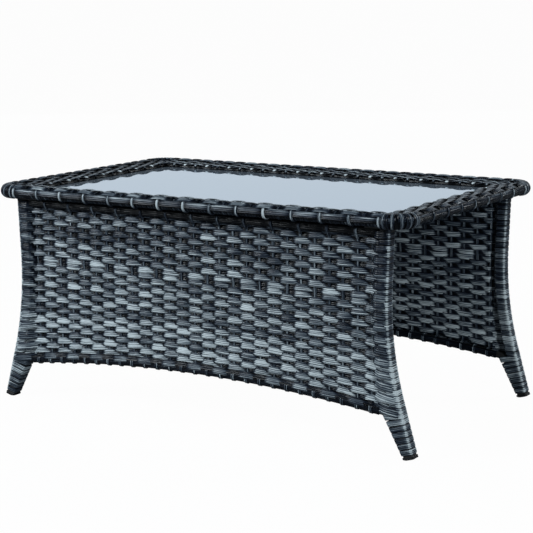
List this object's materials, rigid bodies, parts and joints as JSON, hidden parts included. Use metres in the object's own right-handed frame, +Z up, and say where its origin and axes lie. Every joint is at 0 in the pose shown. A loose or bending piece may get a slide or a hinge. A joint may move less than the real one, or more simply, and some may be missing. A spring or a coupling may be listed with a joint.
{
  "type": "wicker coffee table",
  "caption": "Woven garden coffee table with a drop-in glass top, two arched woven side panels and splayed, wrapped legs.",
  "frame": {"origin": "on the floor, under the centre of the table", "axes": "+X along the table's length, -Y towards the front panel, +Z up"},
  "size_m": [0.9618, 0.59, 0.45],
  "materials": {
    "strand_dark": "satin",
    "strand_mid": "satin",
    "strand_light": "satin",
    "frame_steel": "satin",
    "zinc": "satin",
    "glide_plastic": "matte",
    "pad_clear": "satin",
    "glass": "polished"
  },
  "bodies": {
    "frame": {"glass_pads": "pad_clear", "edge_tube": "frame_steel", "inner_frame": "frame_steel", "frame_struts": "frame_steel", "glass_tabs": "frame_steel", "cross_bar_left": "frame_steel", "cross_bar_right": "frame_steel", "top_weave_front": "strand_dark", "top_weave_back": "strand_dark", "top_weave_left": "strand_dark", "top_weave_right": "strand_dark", "edge_band_front": "strand_mid", "edge_band_back": "strand_mid", "edge_band_left": "strand_mid", "edge_band_right": "strand_mid", "corner_wrap_front_left": "strand_mid", "corner_wrap_front_right": "strand_mid", "corner_wrap_back_left": "strand_mid", "corner_wrap_back_right": "strand_mid", "edge_rings": "strand_light", "front_top_rail": "frame_steel", "front_bottom_rail": "frame_steel", "front_foot_braces": "frame_steel", "front_stakes": "strand_dark", "front_weave": "strand_mid", "front_top_loops": "strand_light", "front_rail_loops": "strand_light", "back_top_rail": "frame_steel", "back_bottom_rail": "frame_steel", "back_foot_braces": "frame_steel", "back_stakes": "strand_dark", "back_weave": "strand_mid", "back_top_loops": "strand_light", "back_rail_loops": "strand_light", "leg_tube_front_left": "frame_steel", "leg_tube_front_right": "frame_steel", "leg_tube_back_left": "frame_steel", "leg_tube_back_right": "frame_steel", "leg_wrap_front_left": "strand_light", "leg_wrap_front_right": "strand_light", "leg_wrap_back_left": "strand_light", "leg_wrap_back_right": "strand_light", "foot_glide_front_left": "glide_plastic", "foot_glide_front_right": "glide_plastic", "foot_glide_back_left": "glide_plastic", "foot_glide_back_right": "glide_plastic", "top_plate_front_left": "frame_steel", "top_plate_front_right": "frame_steel", "top_plate_back_left": "frame_steel", "top_plate_back_right": "frame_steel", "plate_bolts": "zinc", "plate_washers": "zinc", "rivet_nuts": "zinc"},
    "glass": {"glass_pane": "glass"}
  },
  "joints": [
    {"name": "glass_lift", "type": "slide", "parent": "frame", "child": "glass", "axis": [0, 0, 1], "range_m": [0, 0.06]}
  ]
}
